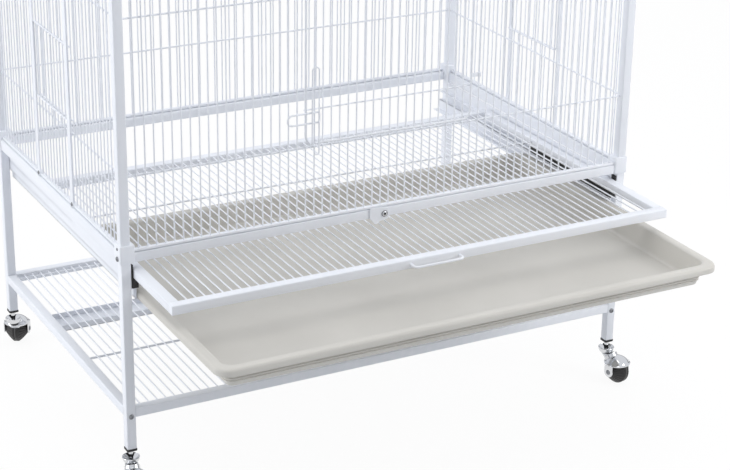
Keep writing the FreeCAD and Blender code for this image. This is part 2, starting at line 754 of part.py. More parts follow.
def make_tray():
    rim_half = inner_x - runner_jog - slide_gap
    body_half = rim_half - tray_rim_wide
    y0 = front_y - tray_out
    y_mid = y0 + tray_depth / 2
    rim_low = base_height - tray_ledge_drop + rest_gap
    rim_top = rim_low + tray_rim_high
    floor_low = rim_top - tray_height
    body_depth = tray_depth - 2 * tray_rim_wide

    def loft(low, high, inset_low, inset_high):
        wires = []
        for z, inset in ((low, inset_low), (high, inset_high)):
            face = rounded_face(2 * (body_half - inset), body_depth - 2 * inset, max(tray_corner - inset, tray_wall), z)
            wires.append(face.OuterWire)
        return Part.makeLoft(wires, True, True)

    tray = loft(floor_low, rim_top, tray_draft, 0.0)
    rim = rounded_face(2 * rim_half, tray_depth, tray_rim_corner, rim_low).extrude(V(0, 0, tray_rim_high))
    rim = rim.makeFillet(tray_rim_round, [e for e in rim.Edges if e.BoundBox.ZMin > rim_top - touch])
    hollow_wide = 2 * (rim_half - tray_rim_wall)
    hollow_deep = tray_depth - 2 * tray_rim_wall
    hollow = rounded_face(hollow_wide, hollow_deep, tray_rim_corner - tray_rim_wall, rim_low)
    hollow = hollow.extrude(V(0, 0, tray_rim_high - tray_rim_wall))
    hollow_top = [e for e in hollow.Edges if e.BoundBox.ZMin > rim_top - tray_rim_wall - touch]
    hollow = hollow.makeFillet(tray_rim_round - tray_rim_wall, hollow_top)
    tray = tray.fuse(rim.cut(hollow))
    slope = tray_draft / tray_height
    inside = loft(floor_low + tray_wall, rim_top + tray_wall,
                  tray_draft - slope * tray_wall + tray_wall, -slope * tray_wall + tray_wall)
    tray = tray.cut(inside).removeSplitter()
    tray.translate(V(0, y_mid, 0))
    save("tray", tray)


def make_swing_tab():
    # Plate that hangs on a bolt in front of the rail
    back = front_y - tab_gap
    pivot = V(tab_x, back, base_height - tab_drop)
    outline = [
        V(-tab_left, 0, tab_top),
        V(-tab_left, 0, -tab_tip * 0.3),
        V(-tab_tip_x, 0, -tab_tip),
        V(-tab_left * 0.3, 0, -tab_tip * 0.7),
        V(tab_right * 0.6, 0, -tab_right),
        V(tab_right, 0, 0),
        V(tab_right * 0.6, 0, tab_right * 0.9),
        V(-tab_right * 0.6, 0, tab_top),
    ]
    face = Part.Face(Part.makePolygon([pivot + p for p in outline] + [pivot + outline[0]]))
    plate = face.extrude(V(0, -tab_t, 0))
    upright = [e for e in plate.Edges if abs(e.BoundBox.YLength - tab_t) < touch]
    plate = plate.makeFillet(tab_corner, upright)
    plate = plate.cut(Part.makeCylinder(tab_bolt_r + fit, tab_t, pivot, V(0, -1, 0)))
    save("swing_tab", plate)
    shank_len = tab_gap + tab_t + tab_gap
    bolt = Part.makeCylinder(tab_bolt_r, shank_len, V(tab_x, front_y, pivot.z), V(0, -1, 0))
    face_y = front_y - shank_len
    washer = Part.makeCylinder(tab_head_r, tab_head_h * 0.5, V(tab_x, face_y, pivot.z), V(0, -1, 0))
    crown = Part.makeCone(tab_head_r * 0.7, tab_head_r * 0.4, tab_head_h * 0.5,
                          V(tab_x, face_y - tab_head_h * 0.5, pivot.z), V(0, -1, 0))
    save("swing_tab_bolt", bolt.fuse(washer).fuse(crown).removeSplitter())


os.makedirs("parts", exist_ok=True)
make_legs()
make_corner_blocks()
make_base_rails()
make_runners()
make_shelf()
make_casters()
make_front_panel()
make_rear_panel()
make_side_panels()
make_feeder_doors()
make_roof()
make_front_door()
make_door_latch()
make_grate()
make_tray()
make_swing_tab()
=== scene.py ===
import math
import bpy
import numpy as np
from mathutils import Matrix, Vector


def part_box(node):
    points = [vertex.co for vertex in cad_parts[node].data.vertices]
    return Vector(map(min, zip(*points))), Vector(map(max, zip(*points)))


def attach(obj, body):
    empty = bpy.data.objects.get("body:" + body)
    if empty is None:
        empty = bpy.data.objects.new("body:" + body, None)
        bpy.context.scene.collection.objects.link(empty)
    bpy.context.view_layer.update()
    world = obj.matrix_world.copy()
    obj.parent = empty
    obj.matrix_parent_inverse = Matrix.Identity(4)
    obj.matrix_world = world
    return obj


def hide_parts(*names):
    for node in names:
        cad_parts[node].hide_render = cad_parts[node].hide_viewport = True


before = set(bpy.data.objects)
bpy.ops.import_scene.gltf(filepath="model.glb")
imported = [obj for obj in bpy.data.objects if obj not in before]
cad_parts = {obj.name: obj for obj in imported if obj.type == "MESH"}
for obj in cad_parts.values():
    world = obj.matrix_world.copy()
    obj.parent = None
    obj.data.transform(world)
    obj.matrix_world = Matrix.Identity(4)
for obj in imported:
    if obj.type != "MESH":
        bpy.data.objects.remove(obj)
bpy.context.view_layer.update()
print("frame loaded,", len(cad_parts), "nodes")

# Sizes shared by the pieces, in millimetres, read from the solids
lowRail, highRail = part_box("front_rail")
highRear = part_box("rear_rail")[1]
lowPost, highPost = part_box("post_front_left")
tube = (highPost.x - lowPost.x) * 1000
halfWidth = -lowPost.x * 1000
frontY = lowRail.y * 1000
rearY = highRear.y * 1000
railTop = highRail.z * 1000
roofTop = highPost.z * 1000
depth = rearY - frontY
midY = (frontY + rearY) / 2
innerX = halfWidth - tube
legX = halfWidth - tube / 2
blockIn = halfWidth + lowRail.x * 1000
tubeCorner = 1.6  # rounding along the edges of every square tube
legs = {
    "front_left": (-legX, frontY + tube / 2),
    "front_right": (legX, frontY + tube / 2),
    "rear_left": (-legX, rearY - tube / 2),
    "rear_right": (legX, rearY - tube / 2),
}
root = "stand_and_cage"


# Colours and nodes
def hexColour(text):
    rgb = [int(text[i:i + 2], 16) / 255 for i in (1, 3, 5)]
    linear = [c / 12.92 if c <= 0.04045 else ((c + 0.055) / 1.055) ** 2.4 for c in rgb]
    return (*linear, 1.0)


def addNode(tree, kind, settings=None, links=None):
    node = tree.nodes.new(kind)
    for key, value in (settings or {}).items():
        if key in node.inputs:
            node.inputs[key].default_value = value
        else:
            setattr(node, key, value)
    for key, source in (links or {}).items():
        tree.links.new(source, node.inputs[key])
    return node


def newMaterial(name):
    material = bpy.data.materials.new(name)
    material.use_nodes = True
    tree = material.node_tree
    tree.nodes.clear()
    return material, tree


# Powder-coated steel: a satin film with a faint orange peel, baked on over the welds
def powderCoat():
    # the true peel is finer, drawn coarse to show
    look = dict(light="#F1F3F8", dull="#E9ECF2", patchMm=60.0, rough=(0.32, 0.44),
                peelMm=2.2, bump=0.05, deepMm=0.3)
    material, tree = newMaterial("powderCoatedSteel")
    place = addNode(tree, "ShaderNodeTexCoord").outputs["Object"]
    patch = addNode(tree, "ShaderNodeTexNoise", {
        "Scale": 1000 / look["patchMm"], "Detail": 3.0}, {"Vector": place})
    peel = addNode(tree, "ShaderNodeTexNoise", {
        "Scale": 1000 / look["peelMm"], "Detail": 2.0}, {"Vector": place})
    ramp = addNode(tree, "ShaderNodeMix", {"data_type": "RGBA"}, {"Factor": patch.outputs["Fac"]})
    ramp.inputs[6].default_value = hexColour(look["dull"])
    ramp.inputs[7].default_value = hexColour(look["light"])
    rough = addNode(tree, "ShaderNodeMapRange", {
        "To Min": look["rough"][0], "To Max": look["rough"][1]}, {"Value": patch.outputs["Fac"]})
    bump = addNode(tree, "ShaderNodeBump", {
        "Strength": look["bump"], "Distance": look["deepMm"] / 1000}, {"Height": peel.outputs["Fac"]})
    coat = addNode(tree, "ShaderNodeBsdfPrincipled", {"IOR": 1.5}, {
        "Base Color": ramp.outputs[2], "Roughness": rough.outputs["Result"],
        "Normal": bump.outputs["Normal"]})
    addNode(tree, "ShaderNodeOutputMaterial", {}, {"Surface": coat.outputs["BSDF"]})
    return material


# Chrome plate on pressed steel: a hard mirror with faint polishing haze
def chromePlate():
    look = dict(colour="#D8D9DB", hazeMm=6.0, rough=(0.03, 0.10))
    material, tree = newMaterial("chromePlatedSteel")
    place = addNode(tree, "ShaderNodeTexCoord").outputs["Object"]
    haze = addNode(tree, "ShaderNodeTexNoise", {
        "Scale": 1000 / look["hazeMm"], "Detail": 4.0}, {"Vector": place})
    rough = addNode(tree, "ShaderNodeMapRange", {
        "To Min": look["rough"][0], "To Max": look["rough"][1]}, {"Value": haze.outputs["Fac"]})
    metal = addNode(tree, "ShaderNodeBsdfPrincipled", {
        "Base Color": hexColour(look["colour"]), "Metallic": 1.0}, {
        "Roughness": rough.outputs["Result"]})
    addNode(tree, "ShaderNodeOutputMaterial", {}, {"Surface": metal.outputs["BSDF"]})
    return material


# Zinc-plated steel: a dull grey metal with a cloudy plating
def zincPlate():
    look = dict(dark="#6E7074", light="#9A9CA0", toneMm=3.0, rough=0.34)
    material, tree = newMaterial("zincPlatedSteel")
    place = addNode(tree, "ShaderNodeTexCoord").outputs["Object"]
    toneNoise = addNode(tree, "ShaderNodeTexNoise", {
        "Scale": 1000 / look["toneMm"], "Detail": 3.0}, {"Vector": place})
    ramp = addNode(tree, "ShaderNodeMix", {"data_type": "RGBA"}, {"Factor": toneNoise.outputs["Fac"]})
    ramp.inputs[6].default_value = hexColour(look["dark"])
    ramp.inputs[7].default_value = hexColour(look["light"])
    metal = addNode(tree, "ShaderNodeBsdfPrincipled", {
        "Metallic": 1.0, "Roughness": look["rough"]}, {"Base Color": ramp.outputs[2]})
    addNode(tree, "ShaderNodeOutputMaterial", {}, {"Surface": metal.outputs["BSDF"]})
    return material


# Moulded black plastic: a matt face with a fine spark-eroded grain
def blackPlastic(name, colour, rough):
    # real grain is about 0.1 mm, drawn coarse to show
    look = dict(grainMm=0.9, bump=0.12, deepMm=0.2, smoother=0.05, rougher=0.08)
    material, tree = newMaterial(name)
    place = addNode(tree, "ShaderNodeTexCoord").outputs["Object"]
    grain = addNode(tree, "ShaderNodeTexNoise", {
        "Scale": 1000 / look["grainMm"], "Detail": 3.0}, {"Vector": place})
    spread = addNode(tree, "ShaderNodeMapRange", {
        "To Min": rough - look["smoother"], "To Max": rough + look["rougher"]}, {
        "Value": grain.outputs["Fac"]})
    bump = addNode(tree, "ShaderNodeBump", {
        "Strength": look["bump"], "Distance": look["deepMm"] / 1000}, {"Height": grain.outputs["Fac"]})
    plastic = addNode(tree, "ShaderNodeBsdfPrincipled", {"Base Color": hexColour(colour), "IOR": 1.49}, {
        "Roughness": spread.outputs["Result"], "Normal": bump.outputs["Normal"]})
    addNode(tree, "ShaderNodeOutputMaterial", {}, {"Surface": plastic.outputs["BSDF"]})
    return material


# Vacuum-formed polystyrene: a pale warm-grey sheet, satin, its colour lighter and darker in broad soft
# patches that are painted shade and sheen
def trayPlastic():
    look = dict(light="#D7D4CD", dull="#C5C2BB", toneMm=150.0, rough=0.5, gloss=0.3,
                grainMm=2.5, bump=0.06, deepMm=0.3)
    material, tree = newMaterial("vacuumFormedPolystyrene")
    place = addNode(tree, "ShaderNodeTexCoord").outputs["Object"]
    # broad light and dark patches in the sheet's colour: painted shade and sheen
    toneNoise = addNode(tree, "ShaderNodeTexNoise", {
        "Scale": 1000 / look["toneMm"], "Detail": 3.0}, {"Vector": place})
    grain = addNode(tree, "ShaderNodeTexNoise", {
        "Scale": 1000 / look["grainMm"], "Detail": 2.0}, {"Vector": place})
    ramp = addNode(tree, "ShaderNodeMix", {"data_type": "RGBA"}, {"Factor": toneNoise.outputs["Fac"]})
    ramp.inputs[6].default_value = hexColour(look["dull"])
    ramp.inputs[7].default_value = hexColour(look["light"])
    bump = addNode(tree, "ShaderNodeBump", {
        "Strength": look["bump"], "Distance": look["deepMm"] / 1000}, {"Height": grain.outputs["Fac"]})
    plastic = addNode(tree, "ShaderNodeBsdfPrincipled", {
        "IOR": 1.59, "Roughness": look["rough"], "Specular IOR Level": look["gloss"]}, {
        "Base Color": ramp.outputs[2], "Normal": bump.outputs["Normal"]})
    addNode(tree, "ShaderNodeOutputMaterial", {}, {"Surface": plastic.outputs["BSDF"]})
    return material


white = powderCoat()
chrome = chromePlate()
zinc = zincPlate()
black = blackPlastic("mouldedPolypropylene", "#1C1B1C", 0.5)
wheelBlack = blackPlastic("mouldedNylon", "#211F1F", 0.42)
# lighter grey nylon for the ring round each tread: a painted highlight
paintedHighlightBlack = blackPlastic("paintedHighlightNylon", "#5C5A5A", 0.5)
polystyrene = trayPlastic()
print("materials ready")


# Mesh building; a part is its points, its quads and its end faces
def skin(loops, flip=False, caps=True):
    # quads between neighbouring loops, an end face over the first and last loop
    loops = np.asarray(loops, float)
    rows, count = loops.shape[:2]
    index = np.arange(rows * count).reshape(rows, count)
    beside = np.roll(index, -1, axis=1)
    quads = np.stack([index[:-1], beside[:-1], beside[1:], index[1:]], axis=-1).reshape(-1, 4)
    ends = [index[0, ::-1], index[-1]] if caps else []
    if flip:
        quads = quads[:, ::-1]
        ends = [end[::-1] for end in ends]
    return loops.reshape(-1, 3), quads, ends


def roundLoop(wide, high, radius, steps=4):
    # rounded rectangle, anticlockwise
    points = []
    for sx, sy, start in ((1, 1, 0), (-1, 1, 90), (-1, -1, 180), (1, -1, 270)):
        turn = np.radians(start + np.linspace(0, 90, steps + 1))
        x = sx * (wide / 2 - radius) + radius * np.cos(turn)
        y = sy * (high / 2 - radius) + radius * np.sin(turn)
        points.append(np.stack([x, y], 1))
    return np.vstack(points)


def unit(v):
    v = np.asarray(v, float)
    return v / np.linalg.norm(v)


def bar(start, end, wide, high, radius, side, edge=0.6):
    # rounded bar from start to end, its width along side, its end edges eased by edge
    start = np.asarray(start, float)
    axis = unit(np.asarray(end, float) - start)
    length = np.linalg.norm(np.asarray(end, float) - start)
    u = unit(side)
    v = np.cross(axis, u)
    loops = []
    ease = edge * 0.3
    steps = ((0, edge), (ease, ease), (edge, 0),
             (length - edge, 0), (length - ease, ease), (length, edge))
    for at, inset in steps:
        flat = roundLoop(wide - 2 * inset, high - 2 * inset, max(radius - inset, 0.1))
        loops.append(start + axis * at + flat[:, :1] * u + flat[:, 1:] * v)
    return skin(loops)


def box(low, high, radius=0.4):
    # box with eased edges, laid along its longest side
    low = np.asarray(low, float)
    high = np.asarray(high, float)
    size = high - low
    k = int(np.argmax(size))
    mid = (low + high) / 2
    start = mid.copy()
    end = mid.copy()
    start[k] = low[k]
    end[k] = high[k]
    side = np.zeros(3)
    side[(k + 1) % 3] = 1
    return bar(start, end, size[(k + 1) % 3], size[(k + 2) % 3], radius, side, radius * 0.9)


def rod(start, end, radius, sides=12):
    # round wire with its end edges eased
    start = np.asarray(start, float)
    end = np.asarray(end, float)
    length = np.linalg.norm(end - start)
    axis = (end - start) / length
    u = unit(np.cross(axis, (0, 0, 1) if abs(axis[2]) < 0.9 else (1, 0, 0)))
    v = np.cross(axis, u)
    turn = np.linspace(0, 2 * np.pi, sides, endpoint=False)
    ring = np.cos(turn)[:, None] * u + np.sin(turn)[:, None] * v
    ease = radius * 0.3
    steps = ((0, radius - ease), (ease, radius), (length - ease, radius), (length, radius - ease))
    loops = [start + axis * at + ring * r for at, r in steps]
    return skin(loops)


def bentPath(points, bends, closed=False):
    # straight runs joined by tangent arcs, a point about every 10 degrees
    points = [np.asarray(p, float) for p in points]
    count = len(points)
    path = []
    for i in range(count):
        here = points[i]
        if not closed and i in (0, count - 1):
            path.append(here)
            continue
        a = unit(points[i - 1] - here)
        b = unit(points[(i + 1) % count] - here)
        bend = bends[i] if isinstance(bends, dict) else bends
        turn = math.pi - math.acos(np.clip(a @ b, -1, 1))
        centre = here + unit(a + b) * bend / math.cos(turn / 2)
        first = here + a * bend * math.tan(turn / 2) - centre
        across = -a
        for t in np.linspace(0, turn, max(3, int(math.degrees(turn) / 10) + 1)):
            path.append(centre + first * math.cos(t) + across * bend * math.sin(t))
    return np.array(path)


def wire(path, radius, closed=False, sides=12):
    # round wire along a path, its frame carried from point to point and its rings widened at bends
    path = np.asarray(path, float)
    count = len(path)
    ahead = np.roll(path, -1, 0) - path
    back = path - np.roll(path, 1, 0)
    if not closed:
        ahead[-1] = back[-1]
        back[0] = ahead[0]
    ahead /= np.linalg.norm(ahead, axis=1)[:, None]
    back /= np.linalg.norm(back, axis=1)[:, None]
    tangent = ahead + back
    tangent /= np.linalg.norm(tangent, axis=1)[:, None]
    u = unit(np.cross(tangent[0], (0.31, 0.52, 0.8)))
    turn = np.linspace(0, 2 * np.pi, sides, endpoint=False)
    loops = []
    for i in range(count):
        u = unit(u - tangent[i] * (u @ tangent[i]))
        v = np.cross(tangent[i], u)
        widen = 1 / max(math.sqrt((1 + ahead[i] @ back[i]) / 2), 0.5)
        loops.append(path[i] + radius * widen * (np.cos(turn)[:, None] * u + np.sin(turn)[:, None] * v))
    if closed:
        return skinTwisted(loops, path)
    return skin(loops)


def skinTwisted(loops, path):
    # closes the wire on itself, the last ring turned to meet the first one
    loops = np.array(loops)
    first = loops[0] - path[0]
    last = loops[-1] - path[-1]
    shift = min(range(len(first)), key=lambda s: np.linalg.norm(np.roll(first, -s, 0) - last))
    verts, quads, ends = skin(loops, caps=False)
    count = loops.shape[1]
    index = np.arange(count)
    beside = np.roll(index, -1)
    lastRow = (len(loops) - 1) * count
    join = np.stack([lastRow + index, lastRow + beside,
                     (beside + shift) % count, (index + shift) % count], axis=-1)
    return verts, np.vstack([quads, join]), ends


def lathe(profile, centre, axis, steps):
    # rings round axis; profile gives (along the axis, radius) from the low end up, a radius of 0 closes it
    axis = unit(axis)
    u = unit(np.cross(axis, (0, 0, 1) if abs(axis[2]) < 0.9 else (1, 0, 0)))
    v = np.cross(axis, u)
    turn = np.linspace(0, 2 * np.pi, steps, endpoint=False)
    ring = np.cos(turn)[:, None] * u + np.sin(turn)[:, None] * v
    loops = [np.asarray(centre, float) + axis * at + ring * max(r, 0.02) for at, r in profile]
    return skin(loops)


def piece(name, parts, material, body, nodes, sharp=38):
    # one object from several meshes, in place of its solids
    faces = []
    start = 0
    for verts, quads, ends in parts:
        faces += (quads + start).tolist() + [(end + start).tolist() for end in ends]
        start += len(verts)
    points = np.vstack([part[0] for part in parts]) * 0.001
    mesh = bpy.data.meshes.new(name)
    mesh.from_pydata(points.tolist(), [], faces)
    mesh.materials.append(material)
    mesh.polygons.foreach_set("use_smooth", [True] * len(mesh.polygons))
    mesh.update()
    mesh.set_sharp_from_angle(angle=math.radians(sharp))
    obj = bpy.data.objects.new(name, mesh)
    bpy.context.scene.collection.objects.link(obj)
    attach(obj, body)
    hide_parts(*nodes)


def coatedPiece(name, parts, body, nodes, sharp=38):
    # a piece of the powder-coated steelwork
    piece(name, parts, white, body, nodes, sharp)


# Camera at the photograph's viewing angle; its eye is counted from the left face, front and rail top
shot = dict(azimuth=28.26, elevation=-22.45, roll=0.93, focalPx=1944.0, eye=(-971.0, -2598.0, 1176.0),
            imagePx=730, sensorMm=36.0, clipEnd=30.0)


def placeCamera():
    az = math.radians(shot["azimuth"])
    el = math.radians(shot["elevation"])
    roll = math.radians(shot["roll"])
    forward = np.array([math.sin(az) * math.cos(el), math.cos(az) * math.cos(el), math.sin(el)])
    right = np.array([math.cos(az), -math.sin(az), 0.0])
    up = np.cross(right, forward)
    rolledRight = right * math.cos(roll) + up * math.sin(roll)
    rolledUp = up * math.cos(roll) - right * math.sin(roll)
    data = bpy.data.cameras.new("camera")
    data.sensor_width = shot["sensorMm"]
    data.lens = shot["focalPx"] / shot["imagePx"] * shot["sensorMm"]
    data.clip_end = shot["clipEnd"]
    camera = bpy.data.objects.new("camera", data)
    bpy.context.scene.collection.objects.link(camera)
    eye = np.array(shot["eye"]) + (-halfWidth, frontY, railTop)
    rows = np.eye(4)
    rows[:3, 0] = rolledRight
    rows[:3, 1] = rolledUp
    rows[:3, 2] = -forward
    rows[:3, 3] = eye * 0.001
    camera.matrix_world = Matrix(rows.tolist())
    bpy.context.scene.camera = camera


placeCamera()


# Stage: white floor, soft light from above and from the left, a weaker one from the front right
def setStage():
    # glow is the floor's own share of its white, the rest takes the shadow
    look = dict(floor="#FFFFFF", bounce="#D8DADD", glow=0.93, reach=14.0,
                sky="#F4F6FA", low="#3A3C40", horizon=0.25)
    # the sky's strength grows from the front to the back
    dimming = dict(start=-0.9, end=0.5, front=0.22, back=1.25)
    # watts, side and place of each lamp, in metres, and the point they face
    lamps = dict(top=(17.0, 2.0, (-0.2, -0.5, 3.4)), left=(48.0, 2.4, (-4.0, 0.6, 1.3)),
                 right=(24.0, 1.0, (1.7, -1.8, 1.3)))
    aim = np.array((0.0, 0.0, 0.5))
    reach = look["reach"]
    mesh = bpy.data.meshes.new("floor")
    corners = [(-reach, -reach, 0), (reach, -reach, 0), (reach, reach, 0), (-reach, reach, 0)]
    mesh.from_pydata(corners, [], [(0, 1, 2, 3)])
    floor = bpy.data.objects.new("floor", mesh)
    bpy.context.scene.collection.objects.link(floor)
    material, tree = newMaterial("paleFloor")
    path = addNode(tree, "ShaderNodeLightPath")
    shiny = addNode(tree, "ShaderNodeMath", {"operation": "MAXIMUM"}, {
        0: path.outputs["Is Camera Ray"], 1: path.outputs["Is Glossy Ray"]})
    clear = addNode(tree, "ShaderNodeMath", {"operation": "MAXIMUM"}, {
        0: shiny.outputs[0], 1: path.outputs["Is Transmission Ray"]})
    soft = addNode(tree, "ShaderNodeBsdfDiffuse", {"Color": hexColour(look["bounce"])})
    paint = addNode(tree, "ShaderNodeBsdfDiffuse", {"Color": hexColour(look["floor"])})
    glow = addNode(tree, "ShaderNodeEmission", {"Color": hexColour(look["floor"]), "Strength": 1.0})
    pale = addNode(tree, "ShaderNodeMixShader", {
        "Fac": look["glow"]}, {1: paint.outputs["BSDF"], 2: glow.outputs["Emission"]})
    seen = addNode(tree, "ShaderNodeMixShader", {}, {
        "Fac": clear.outputs[0], 1: soft.outputs["BSDF"], 2: pale.outputs["Shader"]})
    addNode(tree, "ShaderNodeOutputMaterial", {}, {"Surface": seen.outputs["Shader"]})
    mesh.materials.append(material)
    world = bpy.data.worlds.new("studio")
    bpy.context.scene.world = world
    world.use_nodes = True
    tree = world.node_tree
    tree.nodes.clear()
    place = addNode(tree, "ShaderNodeTexCoord").outputs["Generated"]
    axes = addNode(tree, "ShaderNodeSeparateXYZ", {}, {"Vector": place})
    rise = addNode(tree, "ShaderNodeMapRange", {
        "From Min": 0.0, "From Max": look["horizon"]}, {"Value": axes.outputs["Z"]})
    tone = addNode(tree, "ShaderNodeMix", {"data_type": "RGBA"}, {"Factor": rise.outputs["Result"]})
    tone.inputs[6].default_value = hexColour(look["low"])
    tone.inputs[7].default_value = hexColour(look["sky"])
    dim = addNode(tree, "ShaderNodeMapRange", {
        "From Min": dimming["start"], "From Max": dimming["end"],
        "To Min": dimming["front"], "To Max": dimming["back"]}, {"Value": axes.outputs["Y"]})
    around = addNode(tree, "ShaderNodeBackground", {
        "Color": hexColour(look["sky"])}, {"Strength": dim.outputs["Result"]})
    # metal sees the white backdrop over a dark horizon, the camera sees plain white
    mirrored = addNode(tree, "ShaderNodeBackground", {"Strength": 1.0}, {"Color": tone.outputs[2]})
    plain = addNode(tree, "ShaderNodeBackground", {"Color": (1, 1, 1, 1), "Strength": 1.0})
    path = addNode(tree, "ShaderNodeLightPath")
    direct = addNode(tree, "ShaderNodeMath", {"operation": "MAXIMUM"}, {
        0: path.outputs["Is Camera Ray"], 1: path.outputs["Is Transmission Ray"]})
    shown = addNode(tree, "ShaderNodeMixShader", {}, {
        "Fac": path.outputs["Is Glossy Ray"], 1: around.outputs["Background"],
        2: mirrored.outputs["Background"]})
    seen = addNode(tree, "ShaderNodeMixShader", {}, {
        "Fac": direct.outputs[0], 1: shown.outputs["Shader"], 2: plain.outputs["Background"]})
    addNode(tree, "ShaderNodeOutputWorld", {}, {"Surface": seen.outputs["Shader"]})
    for name, (watts, side, at) in lamps.items():
        data = bpy.data.lights.new(name + "Light", "AREA")
        data.energy = watts
        data.size = side
        lamp = bpy.data.objects.new(name + "Light", data)
        bpy.context.scene.collection.objects.link(lamp)
        away = unit(np.array(at) - aim)
        across = unit(np.cross((0, 1, 0) if name == "top" else (0, 0, 1), away))
        rows = np.eye(4)
        rows[:3, 0] = across
        rows[:3, 1] = np.cross(away, across)
        rows[:3, 2] = away
        rows[:3, 3] = at
        lamp.matrix_world = Matrix(rows.tolist())
    bpy.context.scene.view_settings.view_transform = "Standard"


setStage()
print("camera and light ready")


# Uprights: leg below and post above, joined inside the corner block
def makeUprights():
    size = dict(foot=76.0, joint=414.0)
    parts = []
    for x, y in legs.values():
        joint = (x, y, size["joint"])
        parts.append(bar((x, y, size["foot"]), joint, tube, tube, tubeCorner, (1, 0, 0)))
        parts.append(bar(joint, (x, y, roofTop), tube, tube, tubeCorner, (1, 0, 0)))
    nodes = ["leg_" + n for n in legs] + ["post_" + n for n in legs]
    coatedPiece("uprights", parts, root, nodes)


# Base rails between the corner blocks
def makeRails():
    size = dict(sideHeight=20.0)
    x = halfWidth - blockIn
    z = railTop - tube / 2
    parts = []
    for y in (frontY + tube / 2, rearY - tube / 2):
        parts.append(bar((-x, y, z), (x, y, z), tube, tube, tubeCorner, (0, 1, 0)))
    z = railTop - size["sideHeight"] / 2
    for sx in (-legX, legX):
        start = (sx, frontY + blockIn, z)
        end = (sx, rearY - blockIn, z)
        parts.append(bar(start, end, size["sideHeight"], tube, tubeCorner, (0, 0, 1)))
    nodes = ["front_rail", "rear_rail", "left_rail", "right_rail"]
    coatedPiece("baseRails", parts, root, nodes)


# Corner blocks: sleeves with rounded shoulders that run on along both rails, and a bolt through each
def makeBlocks():
    size = dict(proud=2.5, low=399.0, high=430.0, corner=3.2, edge=2.2)
    bolt = dict(z=407.0, r=4.2, head=2.5)
    upper = dict(z=423.5, r=2.4, head=1.5)
    wide = blockIn + size["proud"]
    inward = (blockIn - size["proud"] - tube) / 2

    def boltHead(kind, x, y, out):
        r = kind["r"]
        h = kind["head"]
        dome = [(-1.0, r), (h * 0.3, r), (h * 0.62, r * 0.93), (h * 0.85, r * 0.78), (h, r * 0.52),
                (h, r * 0.42), (h * 0.45, r * 0.36), (h * 0.4, 0)]
        return lathe(dome, (x + out * (tube / 2 + size["proud"]), y, kind["z"]), (out, 0, 0), 24)

    blocks = []
    bolts = []
    for x, y in legs.values():
        out = math.copysign(1, x)
        bx = x - out * inward
        by = y - math.copysign(inward, y - midY)
        foot = (bx, by, size["low"])
        head = (bx, by, size["high"])
        blocks.append(bar(foot, head, wide, wide, size["corner"], (1, 0, 0), size["edge"]))
        bolts.append(boltHead(bolt, x, y, out))
        if y < midY:
            bolts.append(boltHead(upper, x, y, out))
    coatedPiece("cornerBlocks", blocks, root, ["corner_blocks"])
    piece("cornerBolts", bolts, zinc, root, ["corner_bolts"])


# Runners: folded sheet on the legs with ledges for grate and tray, and a black glide from the front: black
# plastic at its front end, and painted shade of the runner's channel along the rest of its run
def makeRunners():
    size = dict(t=1.2, top=20.0, step=60.0, jog=9.0, ledge=79.0, ledgeWide=13.0,
                grateLedge=8.0, setback=2.5, edge=0.3)
    # behind its front end the glide's black stands for the shaded channel: painted shade
    glide = dict(length=265.0, wide=11.0, foot=43.4, edge=1.2)
    clip = dict(length=12.0, t=2.3, lap=1.0, edge=0.6)
    top = railTop - size["top"]
    step = railTop - size["step"]
    ledge = railTop - size["ledge"]
    foot = railTop - glide["foot"]
    t = size["t"]
    jog = size["jog"]
    front = frontY + size["setback"]
    rear = rearY - size["setback"]
    glideEnd = frontY + glide["length"]
    clipEnd = frontY + clip["length"]

    def slab(s, inA, inB, low, high, near=front, far=rear, edge=size["edge"]):
        # inA and inB are measured from the leg towards the middle
        xs = sorted((s * (innerX - inA), s * (innerX - inB)))
        return box((xs[0], near, low), (xs[1], far, high), edge)

    steel = []
    glidesAndShade = []
    for s in (-1, 1):
        steel.append(slab(s, 0, t, step - t, top))
        steel.append(slab(s, 0, jog, step - t, step))
        steel.append(slab(s, jog - t, jog, ledge - t, step))
        steel.append(slab(s, jog - t, jog + size["ledgeWide"], ledge - t, ledge))
        steel.append(slab(s, 0, size["grateLedge"], foot - t, foot, glideEnd))
        # glide body, black: plastic at the front end, painted shade further back; the clip below is the
        # black plastic end piece
        glidesAndShade.append(slab(s, t, t + glide["wide"], step, foot, frontY, glideEnd, glide["edge"]))
        glidesAndShade.append(slab(s, t, t + clip["t"], foot - clip["lap"], top, frontY, clipEnd, clip["edge"]))
    coatedPiece("runners", steel, root, ["left_runner", "right_runner"])
    piece("glidesAndShade", glidesAndShade, black, root, ["left_glide", "right_glide"])


def tubeFrame(z):
    # four square tubes from upright to upright, their middles at height z
    parts = []
    for y in (frontY + tube / 2, rearY - tube / 2):
        parts.append(bar((-innerX, y, z), (innerX, y, z), tube, tube, tubeCorner, (0, 1, 0)))
    for x in (-legX, legX):
        start = (x, frontY + tube, z)
        end = (x, rearY - tube, z)
        parts.append(bar(start, end, tube, tube, tubeCorner, (0, 0, 1)))
    return parts


